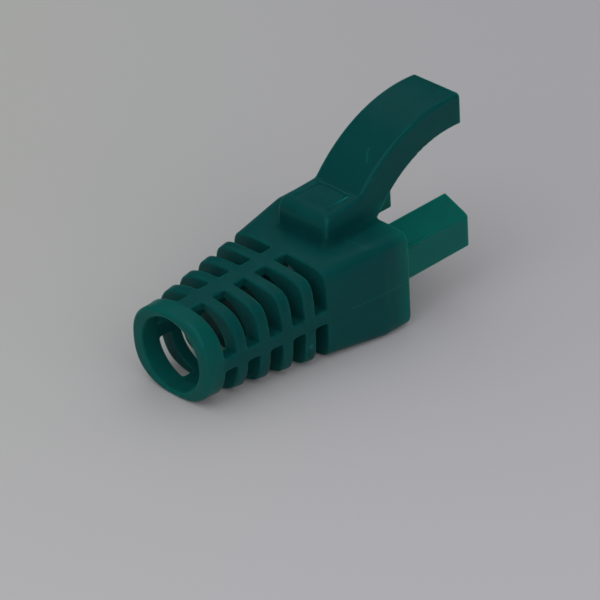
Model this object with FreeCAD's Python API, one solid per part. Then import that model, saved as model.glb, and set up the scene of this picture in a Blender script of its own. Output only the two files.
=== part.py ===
import FreeCAD, Part
import math
import os

# Strain relief boot for a modular plug: one moulded piece. Millimetres.
# X is across, Y runs along the cable from the rear ring to the plug, Z is up, on the latch side.
# The origin is the centre of the cable bore at the rear face of the ring.

# Cable bore, one straight round hole through the sleeve
boreRadius = 3.45
boreLipShare = 0.37           # rounding of its rear mouth, as a share of the ring's wall at the top

# Rear ring; the squareness of an outline is 2 for an ellipse and grows towards a rectangle
ringLength = 1.94
ringHalfWidth = 4.68
ringHalfHeight = 4.03
ringSquareness = 2.42
ringEdgeShare = 0.57          # rounding of the rear outer edge, as a share of the wall at the top

# Ribbed sleeve: slots in the four quarters, with a spine between each pair
slotCount = 5
slotWidth = 1.29
ribWidth = 1.11
topSpineWidth = 1.69          # the spines above and below
sideSpineHeight = 1.25        # the spines left and right
sleeveEndHalfWidth = 5.74
sleeveEndHalfHeight = 4.39
sleeveEndSquareness = 7.5
slotCorner = 0.2              # rounding in each slot's corners
slotOuterEdge = 0.2           # rounding where a slot opens in the outer skin
slotInnerEdge = 0.12          # and where it opens in the bore
slotMargin = 0.6              # how far the outline's changes of slope keep from the slots

# Body: flares from the sleeve to a straight collar round the plug
flareLength = 6.0
collarLength = 2.92
collarHalfWidth = 6.57
collarHalfHeight = 4.63
collarSquareness = 12.0
collarEdge = 0.22             # rounding of the front outer edge

# Pocket for the plug's rear end, and the throat that narrows from it to the bore
sideWall = 0.67               # walls round the pocket
topWall = 0.63
pocketCorner = 0.8
pocketDepth = 3.0
pocketEdge = 0.12             # rounding of its mouth
throatHalfWidth = 4.9
throatHalfHeight = 3.75
throatSquareness = 4.0
throatLength = 1.8
throatLand = 0.06             # step where the throat meets the bore

# Block on the body, the base of the latch guard
blockHalfWidth = 2.82
blockRear = 15.5              # rear face, from the ring's rear face
blockTop = 7.12               # height over the bore axis at the rear
blockSlope = 0.045            # rise of the block's top for each millimetre forwards
blockRearRound = 1.2
blockFootRound = 0.45
dimpleWidth = 3.6             # shallow recess in the block's top
dimpleLength = 3.2
dimpleDepth = 0.13            # at the front; its level floor runs out at the rear
dimpleCorner = 0.4
dimpleFront = 19.65

# Latch guard: an arm that springs from the block and curves forwards over the latch
armEnd = 32.25
armUpperTop = 12.28           # height of the upper curve where it is level
armUpperLevel = 30.8          # and how far forwards that is
armUpperRadius = 14.2
armLowerTop = 9.35
armLowerLevel = 31.2
armLowerRadius = 11.4
armRootRound = 0.6            # hollow rounding between the block's top and the arm
armEdge = 0.4                 # rounding of the long upper edges, and of the block's edges
armUnderEdge = 0.15           # rounding of the long lower edges
armTipEdge = 0.12             # rounding round the free end

# Narrow flats under the ring and the collar, on which the boot lies
restFlat = 0.05               # how deep they are

# Two fingers that reach forwards into the recesses beside the plug's latch
fingerInner = 3.3             # inner face, from the middle plane
fingerSunk = 0.18             # how deep the outer side lies in the pocket's wall
fingerEnd = 29.5
fingerTopInner = 3.92
fingerTopOuter = 2.7
fingerBottomInner = -0.15
fingerBottomOuter = -0.42
fingerShoulder = 0.45         # rounding between the sloping top and the outer side
fingerEdge = 0.15

# How closely each smooth outline is followed
sectionPoints = 64
cornerSpacing = 0.4          # spacing of its points at the corners, as a share of the even spacing

# Sizes and places that follow from those above
ringWall = ringHalfHeight - boreRadius
ringEdge = ringEdgeShare * ringWall
boreLip = boreLipShare * ringWall
pocketHalfWidth = collarHalfWidth - sideWall
pocketHalfHeight = collarHalfHeight - topWall
fingerOuter = pocketHalfWidth + fingerSunk
slotPitch = slotWidth + ribWidth
sleeveEnd = ringLength + slotPitch * (slotCount - 1) + slotWidth
flareEnd = sleeveEnd + flareLength
bodyEnd = flareEnd + collarLength
pocketFloor = bodyEnd - pocketDepth
throatStart = pocketFloor - throatLength
far = 2 * (collarHalfWidth + armUpperTop)      # reaches past the part on every side
near = 1e-4                                    # two places closer than this are the same
beyond = 1.0                                   # how far a cutter reaches past what it cuts


def vector(x, y, z):
    return FreeCAD.Vector(x, y, z)


def smoothSection(y, halfWidth, halfHeight, squareness):
    """A smooth closed outline between an ellipse and a rectangle, |x/a|^n + |z/b|^n = 1."""
    points = []
    for i in range(sectionPoints):
        quarter, place = divmod(4 * i / sectionPoints, 1)
        v = 2 * place - 1
        crowded = cornerSpacing * v + (1 - cornerSpacing) * v ** 3
        angle = math.pi / 4 * (2 * quarter - 1 + crowded)
        c, s = math.cos(angle), math.sin(angle)
        reach = (abs(c) ** squareness + abs(s) ** squareness) ** (-1 / squareness)
        points.append(vector(reach * halfWidth * c, y, reach * halfHeight * s))
    curve = Part.BSplineCurve()
    curve.interpolate(Points=points, PeriodicFlag=True, Parameters=list(range(sectionPoints + 1)))
    return Part.Wire(curve.toShape())


def box(x, y, z):
    """A box from its three pairs of limits."""
    return Part.makeBox(x[1] - x[0], y[1] - y[0], z[1] - z[0], vector(x[0], y[0], z[0]))


def middle(edge):
    return edge.valueAt((edge.FirstParameter + edge.LastParameter) / 2)


def rounded(solid, radius, wanted):
    """The solid with a rounding along every edge whose middle point is wanted."""
    return solid.makeFillet(radius, [edge for edge in solid.Edges if wanted(middle(edge))])


def isAt(value, place):
    return abs(value - place) < near


def outerShape():
    """Ring, sleeve, flared body and collar as one filled form, cut flat at the front."""
    sections = [
        smoothSection(0, ringHalfWidth, ringHalfHeight, ringSquareness),
        smoothSection(ringLength - slotMargin, ringHalfWidth, ringHalfHeight, ringSquareness),
        smoothSection(sleeveEnd + slotMargin, sleeveEndHalfWidth, sleeveEndHalfHeight, sleeveEndSquareness),
        smoothSection(flareEnd, collarHalfWidth, collarHalfHeight, collarSquareness),
        smoothSection(bodyEnd + beyond, collarHalfWidth, collarHalfHeight, collarSquareness),
    ]
    form = Part.makeLoft(sections, True, True)
    form = form.cut(box((-far, far), (bodyEnd, bodyEnd + far), (-far, far)))
    return rounded(form, ringEdge, lambda p: isAt(p.y, 0))


def hollow():
    """The cable bore, the throat and the plug's pocket."""
    bore = Part.makeCylinder(boreRadius, throatStart + 2 * beyond, vector(0, -beyond, 0), vector(0, 1, 0))
    land = boreRadius + throatLand
    throat = [
        smoothSection(throatStart, land, land, 2),
        smoothSection(pocketFloor, throatHalfWidth, throatHalfHeight, throatSquareness),
    ]
    halfWidth, halfHeight = pocketHalfWidth, pocketHalfHeight
    pocket = box((-halfWidth, halfWidth), (pocketFloor, bodyEnd + beyond), (-halfHeight, halfHeight))
    pocket = rounded(pocket, pocketCorner, lambda p: isAt(abs(p.x), halfWidth) and isAt(abs(p.z), halfHeight))
    return [bore, Part.makeLoft(throat, True, True), pocket]


def slots():
    """The openings that make the ribs: one in each quarter, repeated along the sleeve."""
    halfTop, halfSide = topSpineWidth / 2, sideSpineHeight / 2
    cuts = []
    for i in range(slotCount):
        start = ringLength + slotPitch * i

        def isCorner(p):
            beside = isAt(abs(p.x), halfTop) or isAt(abs(p.z), halfSide)
            return beside and (isAt(p.y, start) or isAt(p.y, start + slotWidth))
        for x in ((halfTop, far), (-far, -halfTop)):
            for z in ((halfSide, far), (-far, -halfSide)):
                cuts.append(rounded(box(x, (start, start + slotWidth), z), slotCorner, isCorner))
    return cuts


def isSlotEdge(solid, edge, onBore):
    """Whether an edge lies where a slot's wall meets the bore, or else the outer skin."""
    p = middle(edge)
    if p.y < ringLength - near or p.y > sleeveEnd + near:
        return False
    inside = isAt(math.hypot(p.x, p.z), boreRadius)
    if onBore or inside:
        return onBore and inside
    faces = solid.ancestorsOfType(edge, Part.Face)
    normals = [face.normalAt(*face.Surface.parameter(p)) for face in faces]
    out = vector(p.x, 0, p.z).normalize()
    return abs(normals[0].dot(normals[-1])) < 0.5 and any(n.dot(out) > 0.7 for n in normals)


def armCurve(level, top, radius, start, end):
    """A stretch of one of the arm's curves, level at one place, between two places along the boot."""
    points = []
    for y in (start, (start + end) / 2, end):
        points.append(vector(-blockHalfWidth, y, top - radius + math.sqrt(radius ** 2 - (y - level) ** 2)))
    return Part.Arc(*points).toShape()


def armRoot():
    """Where, along the boot, the rising top of the block meets the arm's upper curve."""
    k = blockTop + blockSlope * (armUpperLevel - blockRear) - (armUpperTop - armUpperRadius)
    a = 1 + blockSlope ** 2
    b = blockSlope * k
    return armUpperLevel - (b + math.sqrt(b ** 2 - a * (k ** 2 - armUpperRadius ** 2))) / a


def blockAndArm():
    """The block and the curved guard, one profile across the whole width, with rounded edges."""
    upper = armCurve(armUpperLevel, armUpperTop, armUpperRadius, armRoot(), armEnd)
    lower = armCurve(armLowerLevel, armLowerTop, armLowerRadius, bodyEnd, armEnd)
    root, tipTop = (v.Point for v in upper.Vertexes)
    under, tipFoot = (v.Point for v in lower.Vertexes)
    rearTop = vector(-blockHalfWidth, blockRear, blockTop)
    rearFoot = vector(-blockHalfWidth, blockRear, 0)
    frontFoot = vector(-blockHalfWidth, bodyEnd, 0)
    straight = [(tipTop, tipFoot), (under, frontFoot), (frontFoot, rearFoot), (rearFoot, rearTop), (rearTop, root)]
    edges = [upper, lower] + [Part.makeLine(a, b) for a, b in straight]
    profile = Part.Wire(Part.__sortEdges__(edges))
    solid = Part.Face(profile).extrude(vector(2 * blockHalfWidth, 0, 0))
    for place, radius in ((rearTop, blockRearRound), (root, armRootRound)):
        solid = rounded(solid, radius, lambda p: isAt(p.y, place.y) and isAt(p.z, place.z))

    def onSide(p):
        return isAt(abs(p.x), blockHalfWidth) and not isAt(p.y, armEnd)

    def isUnder(p):
        return onSide(p) and p.y > bodyEnd + near and p.z < armLowerTop

    def isUpper(p):
        return onSide(p) and not isUnder(p) and p.z > near and not isAt(p.y, bodyEnd)
    solid = rounded(solid, armEdge, isUpper)
    solid = rounded(solid, armUnderEdge, isUnder)
    return rounded(solid, armTipEdge, lambda p: isAt(p.y, armEnd))


def plinth():
    """The lowest part of the block, which stands in the body and takes the rounding at its foot."""
    top = collarHalfHeight + 2 * blockFootRound
    solid = box((-blockHalfWidth, blockHalfWidth), (blockRear, bodyEnd), (0, top))
    return rounded(solid, armEdge, lambda p: isAt(abs(p.x), blockHalfWidth) and isAt(p.y, blockRear))


def dimple():
    """The shallow recess, with a level floor in the block's rising top."""
    floor = blockTop + blockSlope * (dimpleFront - blockRear) - dimpleDepth
    halfWidth = dimpleWidth / 2
    cut = box((-halfWidth, halfWidth), (dimpleFront - dimpleLength, dimpleFront), (floor, floor + blockTop))
    return rounded(cut, dimpleCorner, lambda p: isAt(p.z, floor + blockTop / 2))


def finger(side):
    """One finger, from the pocket's floor to its free end."""
    corners = [
        (fingerInner, fingerBottomInner),
        (fingerInner, fingerTopInner),
        (fingerOuter, fingerTopOuter),
        (fingerOuter, fingerBottomOuter),
    ]
    points = [vector(side * x, pocketFloor, z) for x, z in corners]
    solid = Part.Face(Part.makePolygon(points + points[:1])).extrude(vector(0, fingerEnd - pocketFloor, 0))
    solid = rounded(solid, fingerShoulder, lambda p: isAt(abs(p.x), fingerOuter) and isAt(p.z, fingerTopOuter))
    solid = rounded(solid, fingerEdge, lambda p: not isAt(p.y, fingerEnd) and not isAt(p.y, pocketFloor) and (
        isAt(abs(p.x), fingerInner) or isAt(p.z, fingerBottomOuter)))
    return rounded(solid, fingerEdge, lambda p: isAt(p.y, fingerEnd))


def outside():
    """The whole outer form, still filled: body, block and guard with their roundings."""
    solid = outerShape().fuse(plinth()).removeSplitter()

    def isFoot(p):
        onBody = near < p.z < collarHalfHeight + near
        return onBody and abs(p.x) < blockHalfWidth + near and blockRear - near < p.y < bodyEnd - near
    solid = rounded(solid, blockFootRound, isFoot)
    solid = rounded(solid, collarEdge, lambda p: isAt(p.y, bodyEnd))
    return solid.fuse(blockAndArm()).removeSplitter()


def underFlats():
    """A cutter under the sloping plane that touches the ring and the collar."""
    fall = collarHalfHeight - ringHalfHeight
    slope = fall / (flareEnd - ringEdge)
    cut = Part.makeBox(2 * far, 3 * far, far, vector(-far, -far, -far))
    cut.rotate(vector(0, 0, 0), vector(1, 0, 0), -math.degrees(math.atan(slope)))
    cut.translate(vector(0, ringEdge, restFlat - ringHalfHeight))
    return cut


def boot():
    """The finished part."""
    solid = outside().cut(hollow())
    solid = rounded(solid, boreLip, lambda p: isAt(p.y, 0) and isAt(math.hypot(p.x, p.z), boreRadius))

    def isMouth(p):
        return isAt(p.y, bodyEnd) and abs(p.z) < pocketHalfHeight + near and abs(p.x) < pocketHalfWidth + near
    solid = rounded(solid, pocketEdge, isMouth)
    solid = solid.cut(slots()).removeSplitter()
    for radius, onBore in ((slotOuterEdge, False), (slotInnerEdge, True)):
        solid = solid.makeFillet(radius, [edge for edge in solid.Edges if isSlotEdge(solid, edge, onBore)])
    solid = solid.fuse([finger(1), finger(-1)])
    return solid.cut([dimple(), underFlats()]).removeSplitter()


os.makedirs("parts", exist_ok=True)
part = boot()
part.exportStep("parts/boot.step")
print("solids", len(part.Solids), "volume", round(part.Volume, 2), "valid", part.isValid(), part.BoundBox)
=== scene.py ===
import bpy
import bmesh
import math
import numpy as np
from mathutils import Matrix, Vector


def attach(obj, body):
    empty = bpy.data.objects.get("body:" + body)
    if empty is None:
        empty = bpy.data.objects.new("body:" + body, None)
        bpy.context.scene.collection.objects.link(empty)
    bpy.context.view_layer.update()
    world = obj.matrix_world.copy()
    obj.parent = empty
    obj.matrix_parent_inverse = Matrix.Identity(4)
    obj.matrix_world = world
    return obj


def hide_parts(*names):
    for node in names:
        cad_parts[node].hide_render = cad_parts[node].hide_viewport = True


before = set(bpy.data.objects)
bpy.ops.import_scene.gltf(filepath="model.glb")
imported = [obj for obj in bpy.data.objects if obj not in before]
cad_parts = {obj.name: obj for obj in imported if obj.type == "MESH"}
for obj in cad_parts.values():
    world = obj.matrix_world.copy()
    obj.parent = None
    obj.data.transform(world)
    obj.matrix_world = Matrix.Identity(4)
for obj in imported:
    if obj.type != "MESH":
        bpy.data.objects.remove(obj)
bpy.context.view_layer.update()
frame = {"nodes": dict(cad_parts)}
print("frame loaded, nodes:", ", ".join(frame["nodes"]))

mm = 0.001


def linear(hexColour):
    # sRGB hex to linear, channel by channel
    out = []
    for i in (0, 2, 4):
        c = int(hexColour[i:i + 2], 16) / 255
        out.append(c / 12.92 if c <= 0.04045 else ((c + 0.055) / 1.055) ** 2.4)
    return (*out, 1.0)


def addNode(tree, kind, settings=None, inputs=None, links=None):
    # one node with its settings, its input values and its incoming links
    node = tree.nodes.new(kind)
    for name, value in (settings or {}).items():
        setattr(node, name, value)
    for name, value in (inputs or {}).items():
        node.inputs[name].default_value = value
    for name, socket in (links or {}).items():
        tree.links.new(socket, node.inputs[name])
    return node


def emptyMaterial(name):
    material = bpy.data.materials.new(name)
    material.use_nodes = True
    material.node_tree.nodes.clear()
    return material, material.node_tree


boot = dict(
    baseColour="093c3d",
    flowColour="094140",      # slightly lighter streaks where the melt flowed
    flowMm=3.5,
    roughness=0.34,
    roughnessBelow=0.05,      # how far the streaks take the roughness down
    roughnessAbove=0.06,      # and up
    ior=1.50,                 # plasticised vinyl
    specular=0.07,
    grainMm=0.16,             # real grain is finer, drawn as coarse as it needs to show
    grainHeightMm=0.004,
    scatter=1.0,
    scatterMm=1.3,
    scatterRadius=(0.05, 1.0, 0.75),
    paintedGlowColour="0a544e",      # painted glow on the fingers and the collar's edge, standing in for light through them from every side
    thinFromMm=19.5,          # places along the boot between which that begins
    thinToMm=22.3,
    thinBelowMm=5.2,          # height over the bore axis up to which it reaches in full
    thinFadeMm=1.0,           # and the height over which it ends above that
    ringEndMm=2.0,            # the painted glow is on the ring as well, back from here
    ringFadeMm=0.5,
    ringShare=0.5,
    footShadeColour="022a2c",     # painted shade round the block's foot
    footShadeMm=1.3,
    footShadeShare=0.5,
    markAndHighlightColour="1c5e5c",      # scuffs and mould marks, a little paler, and the painted highlights
    markShare=1.0,
    scuffMm=0.06,
    blobMm=0.28,
    lineMm=0.06,
    lineShare=0.45,
    glintMm=0.22,             # roundings that look paler where they catch the light
    glintShare=0.4,
    coreShare=0.3,            # share of a mark's reach within which it is full
    joinMm=0.0001,            # corners of triangles that are nearer than this are one
    sharpAngle=30,            # degrees
    normalWeight=60,          # above 50, large faces count more in the shading
)

# places on the surface, in mm
# a curved scuff on the guard
scuff = [(0.80, 23.15, 10.04), (0.93, 22.84, 9.83), (1.20, 22.49, 9.59), (1.49, 22.18, 9.35)]
# lines where the mould's halves and inserts met, on the body, and a painted highlight along the guard
mouldLinesAndHighlight = [
    [(5.45, 17.70, 4.52), (5.45, 20.60, 4.60)],
    [(3.40, 17.45, 4.58), (5.45, 17.70, 4.52), (6.31, 18.23, 4.08)],
    [(6.01, 15.19, -0.15), (6.57, 18.83, -0.11), (6.57, 21.60, -0.10)],
    # a painted highlight along the guard's right upper edge
    [(2.65, 20.24, 7.48), (2.65, 21.44, 8.70), (2.63, 23.12, 9.98), (2.62, 24.71, 10.86),
     (2.60, 26.45, 11.56)],
]
# a small bead of plastic on a rib
blobPlace = (5.46, 10.95, -2.10)
# painted highlights on the block's rear right corner and the ring's edge
glints = [
    [(2.72, 16.05, 6.90), (2.80, 15.80, 5.30)],
    [(1.94, 0.45, 3.82), (2.60, 0.45, 3.59), (3.40, 0.40, 3.11), (4.00, 0.24, 2.47)],
]
# painted shade round the foot of the block
footShadePath = [(-2.90, 17.30, 5.00), (-2.60, 15.45, 5.10), (2.70, 15.60, 5.10), (2.90, 17.30, 5.00),
             (2.93, 21.30, 5.00)]


def nearSegment(tree, place, start, end, reach, share):
    # the share on the line between two points, falling smoothly to 0 at the reach, all in mm
    a, b = Vector(start) * mm, Vector(end) * mm
    along = b - a
    perLength = along / along.length_squared if start != end else along
    offset = addNode(tree, "ShaderNodeVectorMath", {"operation": "SUBTRACT"},
                     inputs={1: a}, links={0: place})
    part = addNode(tree, "ShaderNodeVectorMath", {"operation": "DOT_PRODUCT"},
                   inputs={1: perLength}, links={0: offset.outputs["Vector"]})
    held = addNode(tree, "ShaderNodeClamp", links={"Value": part.outputs["Value"]})
    foot = addNode(tree, "ShaderNodeVectorMath", {"operation": "SCALE"},
                   inputs={0: along}, links={"Scale": held.outputs["Result"]})
    gap = addNode(tree, "ShaderNodeVectorMath", {"operation": "DISTANCE"},
                  links={0: offset.outputs["Vector"], 1: foot.outputs["Vector"]})
    return addNode(tree, "ShaderNodeMapRange", {"interpolation_type": "SMOOTHSTEP"},
                   inputs={"From Min": reach * mm, "From Max": reach * mm * boot["coreShare"],
                           "To Max": share},
                   links={"Value": gap.outputs["Value"]}).outputs["Result"]


def nearPath(tree, place, points, reach, share):
    # one amount for each stretch between two of the points
    return [nearSegment(tree, place, a, b, reach, share) for a, b in zip(points, points[1:])]


def greatest(tree, amounts):
    out = amounts[0]
    for amount in amounts[1:]:
        out = addNode(tree, "ShaderNodeMath", {"operation": "MAXIMUM"},
                      links={0: out, 1: amount}).outputs["Value"]
    return out


def paintedGlowPlaces(tree, place):
    # where the glow is painted: the fingers and the collar's edge, up to a height, and the ring
    xyz = addNode(tree, "ShaderNodeSeparateXYZ", links={"Vector": place}).outputs
    height, end = boot["thinBelowMm"], boot["ringEndMm"]
    forward = addNode(tree, "ShaderNodeMapRange", {"interpolation_type": "SMOOTHSTEP"},
                      inputs={"From Min": boot["thinFromMm"] * mm, "From Max": boot["thinToMm"] * mm},
                      links={"Value": xyz["Y"]})
    low = addNode(tree, "ShaderNodeMapRange", {"interpolation_type": "SMOOTHSTEP"},
                  inputs={"From Min": (height + boot["thinFadeMm"]) * mm, "From Max": height * mm},
                  links={"Value": xyz["Z"]})
    thin = addNode(tree, "ShaderNodeMath", {"operation": "MULTIPLY"},
                   links={0: forward.outputs["Result"], 1: low.outputs["Result"]})
    ring = addNode(tree, "ShaderNodeMapRange", {"interpolation_type": "SMOOTHSTEP"},
                   inputs={"From Min": end * mm, "From Max": (end - boot["ringFadeMm"]) * mm,
                           "To Max": boot["ringShare"]},
                   links={"Value": xyz["Y"]})
    return greatest(tree, [thin.outputs["Value"], ring.outputs["Result"]])


def marksAndHighlights(tree, place):
    # scuff, bead and mould lines, with the painted highlights along the guard's edge and on the
    # roundings
    marks = nearPath(tree, place, scuff, boot["scuffMm"], boot["markShare"])
    marks += nearPath(tree, place, [blobPlace, blobPlace], boot["blobMm"], boot["markShare"])
    for path in mouldLinesAndHighlight:
        marks += nearPath(tree, place, path, boot["lineMm"], boot["lineShare"])
    for path in glints:
        marks += nearPath(tree, place, path, boot["glintMm"], boot["glintShare"])
    return greatest(tree, marks)


def softVinyl():
    # plasticised vinyl, injection moulded in a fine spark-eroded cavity: satin, faintly mottled, and lit
    # through where it is thin, with a painted glow on the thin parts, painted shade round the block's
    # foot and painted highlights on edges
    material, tree = emptyMaterial("softVinylMoulded")
    place = addNode(tree, "ShaderNodeTexCoord").outputs["Object"]
    flow = addNode(tree, "ShaderNodeTexNoise",
                   inputs={"Scale": 1 / (boot["flowMm"] * mm), "Detail": 3.0, "Roughness": 0.5},
                   links={"Vector": place})
    colour = addNode(tree, "ShaderNodeMix", {"data_type": "RGBA"},
                     inputs={6: linear(boot["baseColour"]), 7: linear(boot["flowColour"])},
                     links={"Factor": flow.outputs["Fac"]})
    # painted shade round the block's foot
    footShade = greatest(tree, nearPath(tree, place, footShadePath, boot["footShadeMm"], boot["footShadeShare"]))
    layers = [
        # painted glow where the boot is thin
        ("paintedGlowColour", paintedGlowPlaces(tree, place)),
        # painted shade round the block's foot
        ("footShadeColour", footShade),
        # scuffs, bead and mould lines, with painted highlights
        ("markAndHighlightColour", marksAndHighlights(tree, place)),
    ]
    for name, amount in layers:
        colour = addNode(tree, "ShaderNodeMix", {"data_type": "RGBA"},
                         inputs={7: linear(boot[name])},
                         links={6: colour.outputs[2], "Factor": amount})
    roughness = addNode(tree, "ShaderNodeMapRange",
                        inputs={"To Min": boot["roughness"] - boot["roughnessBelow"],
                                "To Max": boot["roughness"] + boot["roughnessAbove"]},
                        links={"Value": flow.outputs["Fac"]})
    grain = addNode(tree, "ShaderNodeTexNoise",
                    inputs={"Scale": 1 / (boot["grainMm"] * mm), "Detail": 2.0, "Roughness": 0.6},
                    links={"Vector": place})
    bump = addNode(tree, "ShaderNodeBump",
                   inputs={"Distance": boot["grainHeightMm"] * mm, "Strength": 1.0},
                   links={"Height": grain.outputs["Fac"]})
    shader = addNode(tree, "ShaderNodeBsdfPrincipled",
                     inputs={"IOR": boot["ior"], "Specular IOR Level": boot["specular"],
                             "Subsurface Weight": boot["scatter"],
                             "Subsurface Radius": boot["scatterRadius"],
                             "Subsurface Scale": boot["scatterMm"] * mm},
                     links={"Base Color": colour.outputs[2], "Roughness": roughness.outputs["Result"],
                            "Normal": bump.outputs["Normal"]})
    addNode(tree, "ShaderNodeOutputMaterial", links={"Surface": shader.outputs["BSDF"]})
    return material


def mergedCopy(node, name):
    # the node's own surface with its loose triangles joined, so that its roundings shade smoothly
    mesh = node.data.copy()
    mesh.name = name
    shape = bmesh.new()
    shape.from_mesh(mesh)
    bmesh.ops.remove_doubles(shape, verts=shape.verts, dist=boot["joinMm"] * mm)
    shape.to_mesh(mesh)
    shape.free()
    mesh.polygons.foreach_set("use_smooth", np.ones(len(mesh.polygons), dtype=bool))
    mesh.set_sharp_from_angle(angle=math.radians(boot["sharpAngle"]))
    piece = bpy.data.objects.new(name, mesh)
    bpy.context.collection.objects.link(piece)
    even = piece.modifiers.new("even", "WEIGHTED_NORMAL")
    even.keep_sharp = True
    even.weight = boot["normalWeight"]
    return piece


bootPiece = mergedCopy(frame["nodes"]["boot"], "bootMoulded")
bootPiece.data.materials.clear()
bootPiece.data.materials.append(softVinyl())
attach(bootPiece, "root")
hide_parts("boot")
print("boot: vertices", len(bootPiece.data.vertices), "faces", len(bootPiece.data.polygons))


floor = dict(
    size=1.2,                         # metres
    restRear=(0.33, -3.98),           # rear end of the flats on which the boot lies, forwards and up, mm
    restFront=(18.83, -4.58),         # their front end
    gap=0.01,                         # mm of air, so that the two surfaces don't cross
    nearLeft="b1b1b2",                # painted light fall-off: the card's colour at the picture's four corners, lighter near the camera
    nearRight="afaeb4",
    farLeft="a9aba7",
    farRight="a5a4a9",
    rightward=(0.675, 0.737, 0.0),    # the picture's right, along the floor
    away=(-0.737, 0.675, 0.0),        # and into its depth
    spanMm=48.0,                      # how far from the middle the painted fall-off still changes
    roughness=0.6,
    specular=0.2,
)


def mattCard():
    # smooth matt card, which spreads the light evenly, with a faint painted fall-off of light across it
    material, tree = emptyMaterial("mattCard")
    place = addNode(tree, "ShaderNodeTexCoord").outputs["Object"]
    reach = floor["spanMm"] * mm
    change = {}
    for name in ("rightward", "away"):
        along = addNode(tree, "ShaderNodeVectorMath", {"operation": "DOT_PRODUCT"},
                        inputs={1: floor[name]}, links={0: place})
        change[name] = addNode(tree, "ShaderNodeMapRange", {"interpolation_type": "SMOOTHSTEP"},
                               inputs={"From Min": -reach, "From Max": reach},
                               links={"Value": along.outputs["Value"]}).outputs["Result"]
    # painted fall-off of light across the card
    falloffColours = {}
    for name in ("near", "far"):
        falloffColours[name] = addNode(tree, "ShaderNodeMix", {"data_type": "RGBA"},
                              inputs={6: linear(floor[name + "Left"]), 7: linear(floor[name + "Right"])},
                              links={"Factor": change["rightward"]}).outputs[2]
    colour = addNode(tree, "ShaderNodeMix", {"data_type": "RGBA"},
                     links={6: falloffColours["near"], 7: falloffColours["far"], "Factor": change["away"]})
    shader = addNode(tree, "ShaderNodeBsdfPrincipled",
                     inputs={"Roughness": floor["roughness"], "Specular IOR Level": floor["specular"]},
                     links={"Base Color": colour.outputs[2]})
    addNode(tree, "ShaderNodeOutputMaterial", links={"Surface": shader.outputs["BSDF"]})
    return material


def makeFloor():
    # a flat square, its height a straight line in y through both ends of the flats, less the gap
    (y0, z0), (y1, z1) = floor["restRear"], floor["restFront"]
    slope = (z1 - z0) / (y1 - y0)
    half = floor["size"] / 2
    x, y = np.meshgrid([-half, half], [-half, half])
    z = (z0 - floor["gap"] - slope * y0) * mm + slope * y
    corners = np.stack([x, y, z], axis=-1).reshape(-1, 3)
    mesh = bpy.data.meshes.new("floor")
    mesh.from_pydata(corners.tolist(), [], [(0, 1, 3, 2)])
    mesh.materials.append(mattCard())
    obj = bpy.data.objects.new("floor", mesh)
    bpy.context.collection.objects.link(obj)


makeFloor()
print("floor laid")


view = dict(
    place=(213.881, -180.838, 176.981),   # mm
    target=(1.857, 13.248, -0.049),
    roll=-3.387,                          # degrees, negative is clockwise seen from behind the camera
    lens=240.0,
    sensor=36.0,
    clip=(0.01, 5.0),                     # metres
)


def aim(obj, place, target, roll=0.0):
    # looks from place to target, level, then rolls about the line of sight
    eye, goal = Vector(place) * mm, Vector(target) * mm
    turn = (goal - eye).to_track_quat("-Z", "Y").to_matrix().to_4x4()
    obj.matrix_world = Matrix.Translation(eye) @ turn @ Matrix.Rotation(math.radians(roll), 4, "Z")


def makeCamera():
    data = bpy.data.cameras.new("camera")
    data.lens, data.sensor_width = view["lens"], view["sensor"]
    data.clip_start, data.clip_end = view["clip"]
    camera = bpy.data.objects.new("camera", data)
    bpy.context.collection.objects.link(camera)
    aim(camera, view["place"], view["target"], view["roll"])
    bpy.context.scene.camera = camera


lights = dict(
    # soft square lamps: name, place in mm, watts, and whether it shows in the satin surface
    lamps=[
        ("key", (0, -206, 315), 0.26, True),
        ("side", (349, 15, 163), 0.17, False),    # its reflection would veil the flank
        ("back", (-156, 171, 315), 0.12, True),
    ],
    target=(0, 15, 0),
    size=280,
)
room = dict(
    colour="ffffff",
    strength=0.63,
    brightStrength=1.24,
    brightToward=(0.71, -0.65, 0.26),   # the room is brighter on the camera's side
    brightFrom=0.3,                     # cosines of the angle from there between which that begins
    brightTo=0.9,
)


def makeLamps():
    for name, place, watts, showsInSatin in lights["lamps"]:
        data = bpy.data.lights.new(name, "AREA")
        data.size = lights["size"] * mm
        data.energy = watts
        lamp = bpy.data.objects.new(name, data)
        bpy.context.collection.objects.link(lamp)
        aim(lamp, place, lights["target"])
        lamp.visible_glossy = showsInSatin


def makeRoom():
    world = bpy.data.worlds.new("room")
    bpy.context.scene.world = world
    world.use_nodes = True
    world.cycles_visibility.glossy = False    # its reflection would veil the whole boot
    tree = world.node_tree
    direction = addNode(tree, "ShaderNodeTexCoord").outputs["Generated"]
    toward = addNode(tree, "ShaderNodeVectorMath", {"operation": "DOT_PRODUCT"},
                     inputs={1: room["brightToward"]}, links={0: direction})
    strength = addNode(tree, "ShaderNodeMapRange", {"interpolation_type": "SMOOTHSTEP"},
                       inputs={"From Min": room["brightFrom"], "From Max": room["brightTo"],
                               "To Min": room["strength"], "To Max": room["brightStrength"]},
                       links={"Value": toward.outputs["Value"]})
    ground = tree.nodes["Background"]
    ground.inputs["Color"].default_value = linear(room["colour"])
    tree.links.new(strength.outputs["Result"], ground.inputs["Strength"])


makeCamera()
makeLamps()
makeRoom()
bpy.context.scene.view_settings.view_transform = "Standard"
print("camera and lights set")
